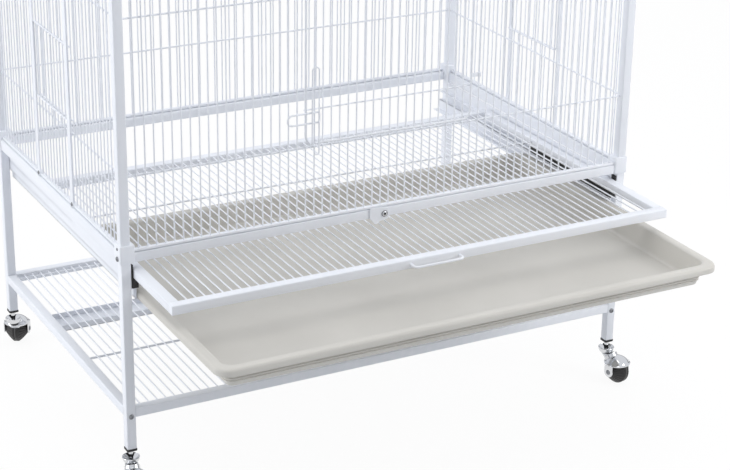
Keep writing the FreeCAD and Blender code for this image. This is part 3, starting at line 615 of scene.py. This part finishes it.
# Lower shelf: tube frame, wires, a folded channel and two rods
def makeShelf():
    size = dict(top=148.0, wireDrop=4.0, wireR=1.25, clear=0.05, gaps=60,
                rods=(216.0, 585.0), rodR=2.0, boltDrop=13.5)
    channel = dict(at=355.0, wide=53.0, high=11.0, t=1.5, edge=0.4)
    parts = tubeFrame(size["top"] - tube / 2)
    z = size["top"] - size["wireDrop"]
    under = z - size["wireR"] - size["clear"]
    y0 = frontY + channel["at"]
    y1 = y0 + channel["wide"]
    t = channel["t"]
    low = under - channel["high"]
    for ya, yb, top in ((y0, y0 + t, under), (y1 - t, y1, under), (y0, y1, low + t)):
        parts.append(box((-innerX, ya, low), (innerX, yb, top), channel["edge"]))
    rodZ = under - size["rodR"]
    for at in size["rods"]:
        y = frontY + at
        parts.append(rod((-innerX, y, rodZ), (innerX, y, rodZ), size["rodR"]))
    coatedPiece("shelfFrame", parts, root, ["shelf_frame"])
    pitch = 2 * innerX / size["gaps"]
    wires = []
    for k in range(1, size["gaps"]):
        x = -innerX + k * pitch
        wires.append(rod((x, frontY + tube, z), (x, rearY - tube, z), size["wireR"]))
    coatedPiece("shelfWires", wires, root, ["shelf_wires"])
    dome = [(-1.0, 4.2), (1.2, 4.2), (2.0, 3.6), (2.5, 2.4), (2.5, 1.9), (1.2, 1.6), (1.1, 0)]
    bolts = []
    for x, y in legs.values():
        out = -1 if y < midY else 1
        seat = (x, y + out * tube / 2, size["top"] - size["boltDrop"])
        bolts.append(lathe(dome, seat, (0, out, 0), 24))
    piece("shelfBolts", bolts, zinc, root, ["shelf_bolts"])


makeUprights()
makeRails()
makeBlocks()
makeRunners()
makeShelf()
print("stand built")


# Wire panels of the cage; levels are the heights of the cross wires, the first and third bound the door
panel = dict(wireR=1.25, crossR=1.5, step=2.8, frontInset=5.0, sideInset=8.0,
             frontGaps=60, sideGaps=38, doorHalf=10, levels=(124.0, 372.0, 620.0, 868.0),
             sillLow=1.0, sillHigh=5.0, sillWidth=8.0, sillEdge=0.8)
pitchX = 2 * innerX / panel["frontGaps"]
pitchY = (depth - 2 * tube) / panel["sideGaps"]
sillLow = railTop + panel["sillLow"]
wireLow = railTop + panel["sillHigh"]
wireHigh = roofTop - tube
doorLow = railTop + panel["levels"][0]
doorHigh = railTop + panel["levels"][2]
jambX = (panel["doorHalf"] + 1) * pitchX


# Front and rear panel: a sill bar, upright wires and cross wires, with the door's mouth left free in front
def makeFrontAndRear():
    r = panel["wireR"]
    cr = panel["crossR"]
    blockX = halfWidth - blockIn
    front = []
    rear = []
    y0 = frontY + panel["frontInset"]
    y1 = rearY - panel["frontInset"]
    half = panel["sillWidth"] / 2
    for parts, y in ((front, y0), (rear, y1)):
        parts.append(box((-blockX, y - half, sillLow), (blockX, y + half, wireLow), panel["sillEdge"]))
    for k in range(1 - panel["frontGaps"] // 2, panel["frontGaps"] // 2):
        x = k * pitchX
        rear.append(rod((x, y1, wireLow), (x, y1, wireHigh), r))
        spans = [(wireLow, wireHigh)]
        if abs(k) <= panel["doorHalf"]:
            spans = [(wireLow, doorLow + cr), (doorHigh - cr, wireHigh)]
        front += [rod((x, y0, a), (x, y0, b), r) for a, b in spans]
    for level in panel["levels"]:
        z = railTop + level
        rear.append(rod((-innerX, y1 - panel["step"], z), (innerX, y1 - panel["step"], z), cr))
        y = y0 + panel["step"]
        if doorLow < z < doorHigh:
            front += [rod((s * innerX, y, z), (s * (jambX - r), y, z), cr) for s in (-1, 1)]
        else:
            front.append(rod((-innerX, y, z), (innerX, y, z), cr))
    coatedPiece("frontPanel", front, root, ["front_panel"])
    coatedPiece("rearPanel", rear, root, ["rear_panel"])


# Side panels with the feeder's mouth, two flat strips outside them and a screw at each strip's foot
def makeSides():
    r = panel["wireR"]
    cr = panel["crossR"]
    mouth = dict(low=147.5, high=268.0, jamb=5)
    strip = dict(half=81.5, width=12.0, t=1.5, edge=0.5, sillOut=4.55, screwR=3.4, screwHead=1.8)
    q = strip["screwR"]
    h = strip["screwHead"]
    dome = [(-0.8, q), (h * 0.25, q), (h * 0.7, q * 0.85), (h, q * 0.5),
            (h, q * 0.3), (h * 0.5, q * 0.22), (h * 0.45, 0)]
    screws = []
    for name, s in (("left", -1), ("right", 1)):
        x = s * (halfWidth - panel["sideInset"])
        outer = x + s * strip["sillOut"]
        inside = x - s * panel["step"]
        xs = sorted((outer, x - s * panel["sillWidth"] / 2))
        front = (xs[0], frontY + blockIn, sillLow)
        rear = (xs[1], rearY - blockIn, wireLow)
        parts = [box(front, rear, panel["sillEdge"])]
        for k in range(1 - panel["sideGaps"] // 2, panel["sideGaps"] // 2):
            y = midY + k * pitchY
            spans = [(wireLow, wireHigh)]
            if abs(k) < mouth["jamb"]:
                spans = [(wireLow, railTop + mouth["low"]), (railTop + mouth["high"], wireHigh)]
            parts += [rod((x, y, a), (x, y, b), r) for a, b in spans]
        for level in panel["levels"]:
            z = railTop + level
            parts.append(rod((inside, frontY + tube, z), (inside, rearY - tube, z), cr))
        reach = mouth["jamb"] * pitchY + r
        for z in (railTop + mouth["low"] - cr, railTop + mouth["high"] + cr):
            parts.append(rod((inside, midY - reach, z), (inside, midY + reach, z), cr))
        coatedPiece(name + "Panel", parts, root, [name + "_panel"])
        xs = sorted((outer, outer + s * strip["t"]))
        strips = []
        for e in (-1, 1):
            y = midY + e * strip["half"]
            w = strip["width"] / 2
            strips.append(box((xs[0], y - w, sillLow), (xs[1], y + w, wireHigh), strip["edge"]))
            screws.append(lathe(dome, (outer + s * strip["t"], y, wireLow), (s, 0, 0), 20))
        coatedPiece(name + "Strips", strips, root, [name + "_strips"])
    piece("stripScrews", screws, zinc, root, ["strip_screws"])


# Roof: four tubes, wires from front to rear and three cross wires under them
def makeRoof():
    size = dict(crosses=3)
    z = roofTop - tube / 2
    coatedPiece("roofFrame", tubeFrame(z), root, ["roof_frame"])
    wires = []
    for k in range(1 - panel["frontGaps"] // 2, panel["frontGaps"] // 2):
        wires.append(rod((k * pitchX, frontY + tube, z), (k * pitchX, rearY - tube, z), panel["wireR"]))
    below = z - panel["step"]
    for i in range(size["crosses"]):
        y = frontY + depth * (i + 1) / (size["crosses"] + 1)
        wires.append(rod((-innerX, y, below), (innerX, y, below), panel["crossR"]))
    coatedPiece("roofWires", wires, root, ["roof_wires"])


# Feeder doors: a bent frame wire with upright wires, lifting between the strips
def makeFeeders():
    size = dict(rise=145.0, height=128.0, half=78.25, r=1.25, bend=5.0, out=2.9, wires=4)
    low = railTop + size["rise"]
    high = low + size["height"]
    r = size["r"]
    for name, s in (("left", -1), ("right", 1)):
        x = s * (halfWidth - panel["sideInset"] + size["out"])
        near = midY - size["half"]
        far = midY + size["half"]
        corners = [(x, near, low), (x, far, low), (x, far, high), (x, near, high)]
        parts = [wire(bentPath(corners, size["bend"], True), r, True)]
        for k in range(-size["wires"], size["wires"] + 1):
            y = midY + k * pitchY
            parts.append(rod((x, y, low), (x, y, high), r))
        body = name + "_feeder"
        coatedPiece(name + "Feeder", parts, body, [body + "_door"])


makeFrontAndRear()
makeSides()
makeRoof()
makeFeeders()
print("panels built")


# Front door with its hinge eyes, latch loop and guide
def makeDoor():
    size = dict(frameR=2.0, gap=6.0, bend=14.0, crossRise=62.0, crossPitch=186.0, crosses=3)
    eye = dict(inset=70.0, r=3.2, bore=1.35, high=7.0, ease=0.4)
    arm = dict(t=1.6, short=2.0, low=0.2, edge=0.4)
    slack = 0.05  # keeps the two arcs of a round end a hair apart
    y = frontY + panel["frontInset"]
    half = panel["doorHalf"] * pitchX
    low = doorLow + size["gap"]
    high = doorHigh - size["gap"]
    r = size["frameR"]
    corners = [(-half, y, low), (half, y, low), (half, y, high), (-half, y, high)]
    frameWire = wire(bentPath(corners, size["bend"], True), r, True, 16)
    coatedPiece("doorFrame", [frameWire], "front_door", ["front_door_frame"])
    wires = []
    for k in range(1 - panel["doorHalf"], panel["doorHalf"]):
        wires.append(rod((k * pitchX, y, low), (k * pitchX, y, high), panel["wireR"]))
    back = y + r + panel["wireR"]
    for i in range(size["crosses"]):
        z = doorLow + size["crossRise"] + i * size["crossPitch"]
        wires.append(rod((-half - r, back, z), (half + r, back, z), panel["wireR"]))
    coatedPiece("doorWires", wires, "front_door", ["front_door_wires"])
    eyes = []
    h = eye["high"]
    ease = eye["ease"]
    small = eye["r"] - ease
    ring = [(0, eye["bore"]), (0, small), (ease, eye["r"]),
            (h - ease, eye["r"]), (h, small), (h, eye["bore"])]
    for z in (low + eye["inset"], high - eye["inset"]):
        eyes.append(lathe(ring, (jambX, y, z), (0, 0, 1), 24))
        near = (half + r / 2, y - arm["t"] / 2, z + arm["low"])
        far = (jambX - arm["short"], y + arm["t"] / 2, z + h - arm["low"])
        eyes.append(box(near, far, arm["edge"]))
    coatedPiece("doorEyes", eyes, "front_door", ["door_hinge_eyes"])
    latch = dict(r=1.5, length=59.0, height=20.0, rise=50.0, reach=35.0, gap=0.4, bend=4.0)
    lr = latch["r"]
    ly = y - r - latch["gap"] - lr
    x0 = -half - latch["reach"] + lr
    x1 = x0 + latch["length"] - 2 * lr
    z0 = doorLow + latch["rise"] - latch["height"] / 2 + lr
    z1 = doorLow + latch["rise"] + latch["height"] / 2 - lr
    nose = (z1 - z0) / 2 - slack
    corners = [(x1, ly, z0), (x1, ly, z1), (x0, ly, z1), (x0, ly, z0)]
    bends = {0: latch["bend"], 1: latch["bend"], 2: nose, 3: nose}
    loop = wire(bentPath(corners, bends, True), lr, True)
    coatedPiece("latchLoop", [loop], "door_latch", ["door_latch_loop"])
    guide = dict(r=1.25, span=12.0, inset=14.3, rise=128.0, drop=9.0, hook=8.0, bend=2.0)
    gr = guide["r"]
    gy = ly - lr - latch["gap"] - gr
    xa = -half + guide["inset"] - guide["span"] / 2
    xb = xa + guide["span"]
    top = low + guide["rise"]
    bottom = low - guide["drop"]
    hook = guide["hook"]
    end = bottom - hook
    corners = [(xa, y - r, low), (xa, gy, low), (xa, gy, top), (xb, gy, top),
               (xb, gy, end), (xb - hook, gy, end), (xb - hook, gy, bottom)]
    arch = guide["span"] / 2 - slack
    curl = hook / 2 - slack
    path = bentPath(corners, {1: guide["bend"], 2: arch, 3: arch, 4: curl, 5: curl})
    coatedPiece("latchGuide", [wire(path, gr)], "front_door", ["door_latch_guide"])


makeDoor()
print("door built")


# Grate: tube frame, wires, two rods beneath and a bent wire handle
def makeGrate():
    size = dict(out=154.0, depth=584.0, half=450.0, wide=17.0, high=15.5, drop=43.1)
    mesh = dict(r=1.25, pitch=15.1, rods=(205.0, 398.0), rodR=1.5, step=2.8)
    handle = dict(r=2.1, width=93.0, reach=18.0, bend=7.0, sink=0.5)
    w = size["wide"]
    h = size["high"]
    half = size["half"]
    y0 = frontY - size["out"]
    y1 = y0 + size["depth"]
    low = railTop - size["drop"]
    mid = low + h / 2
    parts = []
    for y in (y0 + w / 2, y1 - w / 2):
        parts.append(bar((-half, y, mid), (half, y, mid), w, h, tubeCorner, (0, 1, 0)))
    for x in (-half + w / 2, half - w / 2):
        parts.append(bar((x, y0 + w, mid), (x, y1 - w, mid), w, h, tubeCorner, (1, 0, 0)))
    coatedPiece("grateFrame", parts, "grate", ["grate_frame"])
    inner = half - w
    gaps = 2 * round(inner / mesh["pitch"])
    z = low + h - 2 * mesh["r"]
    wires = []
    for k in range(1, gaps):
        x = -inner + k * 2 * inner / gaps
        wires.append(rod((x, y0 + w, z), (x, y1 - w, z), mesh["r"]))
    below = z - mesh["step"]
    for at in mesh["rods"]:
        wires.append(rod((-inner, y0 + at, below), (inner, y0 + at, below), mesh["rodR"]))
    coatedPiece("grateWires", wires, "grate", ["grate_wires"])
    hx = handle["width"] / 2 - handle["r"]
    hy = y0 - handle["reach"] + handle["r"]
    base = y0 + handle["sink"]
    path = bentPath([(-hx, base, mid), (-hx, hy, mid), (hx, hy, mid), (hx, base, mid)], handle["bend"])
    grip = wire(path, handle["r"], sides=16)
    coatedPiece("grateHandle", [grip], "grate", ["grate_handle"])


# Tray: one formed sheet, from its floor up the wall, over a rolled rim and down the skirt
def makeTray():
    size = dict(out=314.0, depth=604.0, half=444.5, drop=66.7, rim=14.0, skirt=12.0,
                height=38.5, wall=2.6, lean=10.0)
    bend = dict(corner=20.0, rimCorner=24.0, least=6.0, foot=5.0, rollOut=5.0, rollIn=3.5,
                sheet=2.0, shoulder=6.0)
    ridge = dict(down=(25.0, 30.0), proud=1.4, half=1.0, floorIn=10.0, floorHigh=0.6)
    yMid = frontY - size["out"] + size["depth"] / 2
    top = railTop - size["drop"]
    lip = top - size["skirt"]
    floor = top - size["height"]
    rim = size["rim"]
    slope = size["lean"] / size["height"]
    rows = []

    def row(inset, z):
        # one closed line round the tray; its corners tighten from the rim's radius inwards
        spread = min(inset / rim, 1.0)
        corner = bend["rimCorner"] + (bend["corner"] - bend["rimCorner"]) * spread - max(inset - rim, 0)
        corner = max(corner, bend["least"])
        flat = roundLoop(2 * (size["half"] - inset), size["depth"] - 2 * inset, corner, 8)
        rows.append(np.column_stack([flat[:, 0], flat[:, 1] + yMid, np.full(len(flat), z)]))

    def outside(z):
        return rim + (top - z) * slope

    def inside(z):
        return outside(z) + size["wall"]

    # floor with a low bead round it, then the rounded foot of the wall
    low = floor + size["wall"]
    foot = bend["foot"]
    face = inside(low + foot)
    for off, up in ((3.0, 0.0), (1.6, 0.75), (0.0, 1.0), (-1.6, 0.75), (-3.0, 0.0)):
        row(face + ridge["floorIn"] + off, low + up * ridge["floorHigh"])
    for a in np.radians((0, 22, 45, 68, 90)):
        row(face + foot * (1 - math.sin(a)), low + foot * (1 - math.cos(a)))
    # wall, and the rim rolled over in two arcs
    roll = bend["rollIn"]
    edge = inside(top - roll)
    for a in np.radians((0, 18, 36, 54, 72, 90)):
        row(edge - (roll + 1) * (1 - math.cos(a)), top - roll * (1 - math.sin(a)))
    roll = bend["rollOut"]
    for a in np.radians((0, 18, 36, 54, 72, 90)):
        row(roll * (1 - math.sin(a)), top - roll * (1 - math.cos(a)))
    # skirt, round its edge and up behind it to the outside of the wall
    sheet = bend["sheet"]
    for inset, up in ((0.0, 0.9), (0.3, 0.25), (sheet / 2, 0.0), (sheet - 0.3, 0.25), (sheet, 0.9)):
        row(inset, lip + up)
    row(sheet, top - roll)
    row(roll, top - sheet - 0.4)
    row(rim - 2.0, top - sheet - 0.8)
    shoulder = top - bend["shoulder"]
    row(outside(shoulder), shoulder)
    # two fine ridges on the outside of the wall, then the rounded foot
    for down in ridge["down"]:
        for off, out in ((ridge["half"], 0.0), (0.4, 1.0), (-0.4, 1.0), (-ridge["half"], 0.0)):
            row(outside(top - down + off) - out * ridge["proud"], top - down + off)
    face = outside(floor + foot / 2)
    for a in np.radians((0, 30, 60, 90)):
        row(face + foot / 2 * (1 - math.cos(a)), floor + foot / 2 * (1 - math.sin(a)))
    piece("trayShell", [skin(rows, flip=True)], polystyrene, "tray", ["tray"], 60)


# Swing tab that hangs on a bolt in front of the rail
def makeTab():
    size = dict(x=-10.0, drop=9.6, left=27.0, right=10.5, top=12.0, tip=17.5, tipX=16.0,
                corner=3.0, t=2.0, gap=0.3, ease=0.35)
    left = size["left"]
    right = size["right"]
    tip = size["tip"]
    t = size["t"]
    ease = size["ease"]
    z = railTop - size["drop"]
    outline = [(-left, size["top"]), (-left, -tip * 0.3), (-size["tipX"], -tip),
               (-left * 0.3, -tip * 0.7), (right * 0.6, -right), (right, 0),
               (right * 0.6, right * 0.9), (-right * 0.6, size["top"])]
    path = bentPath([(x, 0, h) for x, h in outline], size["corner"], True)
    flat = path[:, (0, 2)]
    middle = flat.mean(0)
    reach = np.linalg.norm(flat - middle, axis=1)[:, None]
    loops = []
    back = frontY - size["gap"]
    for at, inset in ((0, ease), (ease, 0), (t - ease, 0), (t, ease)):
        shrunk = middle + (flat - middle) * (1 - inset / reach)
        ys = np.full(len(flat), back - at)
        loops.append(np.column_stack([shrunk[:, 0] + size["x"], ys, shrunk[:, 1] + z]))
    coatedPiece("swingTab", [skin(loops)], "swing_tab", ["swing_tab"], 30)
    # bolt: a dull washer, a polished head with a recess, and a black disc in the bottom of the recess that
    # is painted shade
    washer = [(0.0, 3.0), (2.6, 3.0), (2.6, 5.3), (2.8, 5.5), (3.3, 5.5), (3.6, 5.2), (3.6, 3.0)]
    head = [(3.5, 4.4), (3.8, 4.4), (4.4, 4.0), (4.8, 3.3), (4.8, 2.3), (4.5, 2.0), (2.9, 2.0)]
    # black disc closing the bottom of the recess: painted shade, not a part of the bolt
    shadeDisc = [(2.8, 1.95), (3.6, 1.95), (3.6, 0)]
    place = (size["x"], frontY, z)
    rings = (("tabWasher", washer, zinc), ("tabBolt", head, chrome), ("tabHollowShade", shadeDisc, black))
    for name, profile, finish in rings:
        part = lathe(profile, place, (0, -1, 0), 32)
        piece(name, [part], finish, root, ["swing_tab_bolt"], 30)


makeGrate()
makeTray()
makeTab()
print("grate, tray and tab built")


# Casters: a chrome hood that leans off its stem, a fluted wheel on a riveted axle
caster = dict(wheelR=25.0, trail=28.0)
turns = {"front_left": -14.0, "front_right": 14.0, "rear_left": 150.0, "rear_right": -150.0}


def casterAxes(name):
    # middle of the wheel, the way it trails and the way its axle points
    x, y = legs[name]
    turn = math.radians(turns[name])
    back = np.array([math.sin(turn), -math.cos(turn), 0.0])
    across = np.array([math.cos(turn), math.sin(turn), 0.0])
    centre = np.array([x, y, caster["wheelR"]]) + back * caster["trail"]
    return centre, back, across


# Stems with their collars, the caps on the legs' feet and the plugs in the posts' tops
def makeStems():
    size = dict(r=4.0, low=48.0, cap=72.0, collarR=5.5, collarH=3.0)
    cap = dict(wide=17.6, high=4.0, corner=2.4, edge=0.7)
    plug = dict(deep=8.0, below=0.05, inset=2.4, corner=0.6, edge=0.3)
    low = size["low"]
    under = size["cap"] - size["collarH"]
    r = size["r"]
    shank = [(low, r - 0.5), (low + 0.5, r), (under, r), (under, size["collarR"] - 0.4),
             (under + 0.4, size["collarR"]), (size["cap"], size["collarR"])]
    stems = []
    caps = []
    tops = []
    for x, y in legs.values():
        stems.append(lathe(shank, (x, y, 0), (0, 0, 1), 24))
        start = (x, y, size["cap"])
        end = (x, y, size["cap"] + cap["high"])
        caps.append(bar(start, end, cap["wide"], cap["wide"], cap["corner"], (1, 0, 0), cap["edge"]))
        start = (x, y, roofTop - plug["deep"])
        end = (x, y, roofTop - plug["below"])
        wide = tube - plug["inset"]
        tops.append(bar(start, end, wide, wide, plug["corner"], (1, 0, 0), plug["edge"]))
    piece("casterStems", stems, chrome, root, ["caster_stems"])
    piece("legCaps", caps, black, root, ["leg_end_caps"])
    piece("postCaps", tops, black, root, ["post_caps"])


# Hood: ball cap, ears, leaning ring and neck in one piece, and the rivet heads of the axle
def makeHood(name):
    # crown is the angle at which the ball closes, just short of a quarter turn
    cap = dict(outer=26.6, inner=25.7, rise=13.0, beadR=23.7, beadHigh=1.6, crown=1.55)
    ear = dict(inner=21.4, t=2.0, r=9.5)
    ring = dict(r=13.0, lean=37.0, out=29.0)
    neck = dict(r=10.0, top=50.0, cupR=14.5, cupTop=60.0, cupFloor=53.0, bore=4.05)
    centre, back, across = casterAxes(name)
    up = np.array([0.0, 0.0, 1.0])
    stem = np.array([*legs[name], 0.0])
    # cap: a thin ball cap with a bead round its rim
    rise = cap["rise"]
    inner = cap["inner"]
    outer = cap["outer"]
    bead = cap["beadR"]
    beadTop = rise + cap["beadHigh"]
    rimIn = math.asin(rise / inner)
    rimOut = math.asin((beadTop + 0.4) / outer)
    dome = [(inner * math.sin(a), inner * math.cos(a)) for a in np.linspace(cap["crown"], rimIn, 12)]
    dome += [(rise - 0.2, bead - 0.9), (rise - 0.4, bead - 0.4), (rise + 0.1, bead)]
    dome += [(beadTop - 0.4, bead), (beadTop, bead - 0.4)]
    dome += [(outer * math.sin(a), outer * math.cos(a)) for a in np.linspace(rimOut, cap["crown"], 16)]
    parts = [lathe(dome, centre, up, 48)]
    # ears: plates with a round end, one on each side of the wheel
    arc = np.radians(np.linspace(180, 360, 17))
    edge = [(ear["r"] * math.cos(a), ear["r"] * math.sin(a)) for a in arc]
    edge += [(ear["r"], rise + 1.0), (-ear["r"], rise + 1.0)]
    for s in (-1, 1):
        loops = []
        for at, k in ((0.0, 0.97), (0.3, 1.0), (ear["t"] - 0.4, 1.0), (ear["t"], 0.95)):
            middle = centre + across * s * (ear["inner"] + at)
            loops.append([middle + back * u * k + up * v * k for u, v in edge])
        parts.append(skin(loops, flip=s > 0))
    # leaning ring with two grooves
    lean = math.radians(ring["lean"])
    axis = up * math.cos(lean) - back * math.sin(lean)
    r = ring["r"]
    out = ring["out"]
    steps = [(8.0, 0.3), (5.2, 0.3), (4.8, -0.7), (3.9, -0.7), (3.5, 0.0), (2.4, 0.0),
             (2.0, -0.8), (1.2, -0.8), (0.8, -0.1), (0.3, -0.1), (0.0, -0.5)]
    parts.append(lathe([(out - down, r + more) for down, more in steps], centre, axis, 40))
    # neck: circles carried from the ring's face to the foot of the cup, then the cup and its bowl
    turn = np.linspace(0, 2 * np.pi, 40, endpoint=False)[:, None]
    tilted = -back * math.cos(lean) - up * math.sin(lean)
    start = centre + axis * (out - 1.0) + (r - 1.0) * (np.cos(turn) * across + np.sin(turn) * tilted)
    level = np.cos(turn) * across - np.sin(turn) * back
    end = stem + up * neck["top"] + neck["r"] * level
    loops = [start + (end - start) * t for t in np.linspace(0, 1, 8)]
    top = neck["cupTop"]
    cup = neck["cupR"]
    bowl = neck["cupFloor"]
    rings = ((51.2, 11.5), (53.0, 12.8), (55.5, 13.8), (top - 0.5, cup), (top, cup - 0.4),
             (top, cup - 1.1), (top - 0.5, cup - 1.5), (bowl + 1.0, 5.6), (bowl, neck["bore"]))
    for z, radius in rings:
        loops.append(stem + up * z + radius * level)
    parts.append(skin(loops, flip=True))
    body = "caster_" + name
    piece("hood_" + name, parts, chrome, body, ["caster_hood_" + name], 40)
    rivet = [(-4.0, 3.0), (0.0, 3.0), (0.0, 4.6), (0.5, 4.5), (1.1, 3.9), (1.5, 2.6),
             (1.5, 1.2), (0.9, 0.9), (0.9, 0)]
    heads = []
    for s in (-1, 1):
        seat = centre + across * s * (ear["inner"] + ear["t"])
        heads.append(lathe(rivet, seat, across * s, 24))
    piece("axle_" + name, heads, zinc, body, ["caster_axle_" + name], 40)


# Wheel: tread in the middle, bulging cones to both hubs, furrowed, with a paler line round the tread that
# is a painted highlight
def makeWheel(name):
    size = dict(half=20.0, endR=8.5, treadHalf=4.3, treadFlat=3.4, bulge=1.3, bore=3.05)
    flute = dict(count=22, deep=0.9, lineHalf=0.9, lineDeep=0.5)
    centre, back, across = casterAxes(name)
    up = np.array([0.0, 0.0, 1.0])
    turn = np.linspace(0, 2 * np.pi, flute["count"] * 8, endpoint=False)
    ring = np.cos(turn)[:, None] * up + np.sin(turn)[:, None] * back
    # furrows run from the hub to the tread, narrow at the bottom and broad between; they fade in
    # over the first sixth from the tread and out over the last fifth to the hub
    furrow = (0.5 + 0.5 * np.cos(turn * flute["count"])) ** 2
    taper = size["half"] - size["treadHalf"]
    r = caster["wheelR"]
    places = np.concatenate([np.linspace(-size["half"], -size["treadHalf"], 15),
                             np.linspace(-size["treadFlat"], size["treadFlat"], 9),
                             np.linspace(size["treadHalf"], size["half"], 15)])
    loops = [centre - across * size["half"] + ring * size["bore"]]
    for at in places:
        t = max(abs(at) - size["treadHalf"], 0.0) / taper
        radius = r + (size["endR"] - r) * t + 4 * size["bulge"] * t * (1 - t)
        deep = flute["deep"] * min(1.0, 6 * t) * min(1.0, 5 * (1 - t) + 0.15)
        radius -= flute["lineDeep"] if abs(at) < flute["lineHalf"] else 0.0
        loops.append(centre + across * at + ring * (radius - deep * furrow)[:, None])
    loops.append(centre + across * size["half"] + ring * size["bore"])
    node = "caster_wheel_" + name
    body = "wheel_" + name
    piece("wheel_" + name, [skin(loops, flip=True)], wheelBlack, body, [node], 50)
    # paler grey ring in the groove round the middle of the tread, standing as a thin ridge; its pale
    # colour is a painted highlight
    half = flute["lineHalf"]
    line = [(-half, r - 1.0), (-half, r - 0.4), (-half * 0.5, r - 0.1),
            (half * 0.5, r - 0.1), (half, r - 0.4), (half, r - 1.0)]
    band = lathe(line, centre, across, 96)
    piece("wheelHighlightLine_" + name, [band], paintedHighlightBlack, body, [node], 50)


makeStems()
for corner in legs:
    makeHood(corner)
    makeWheel(corner)
print("casters built")
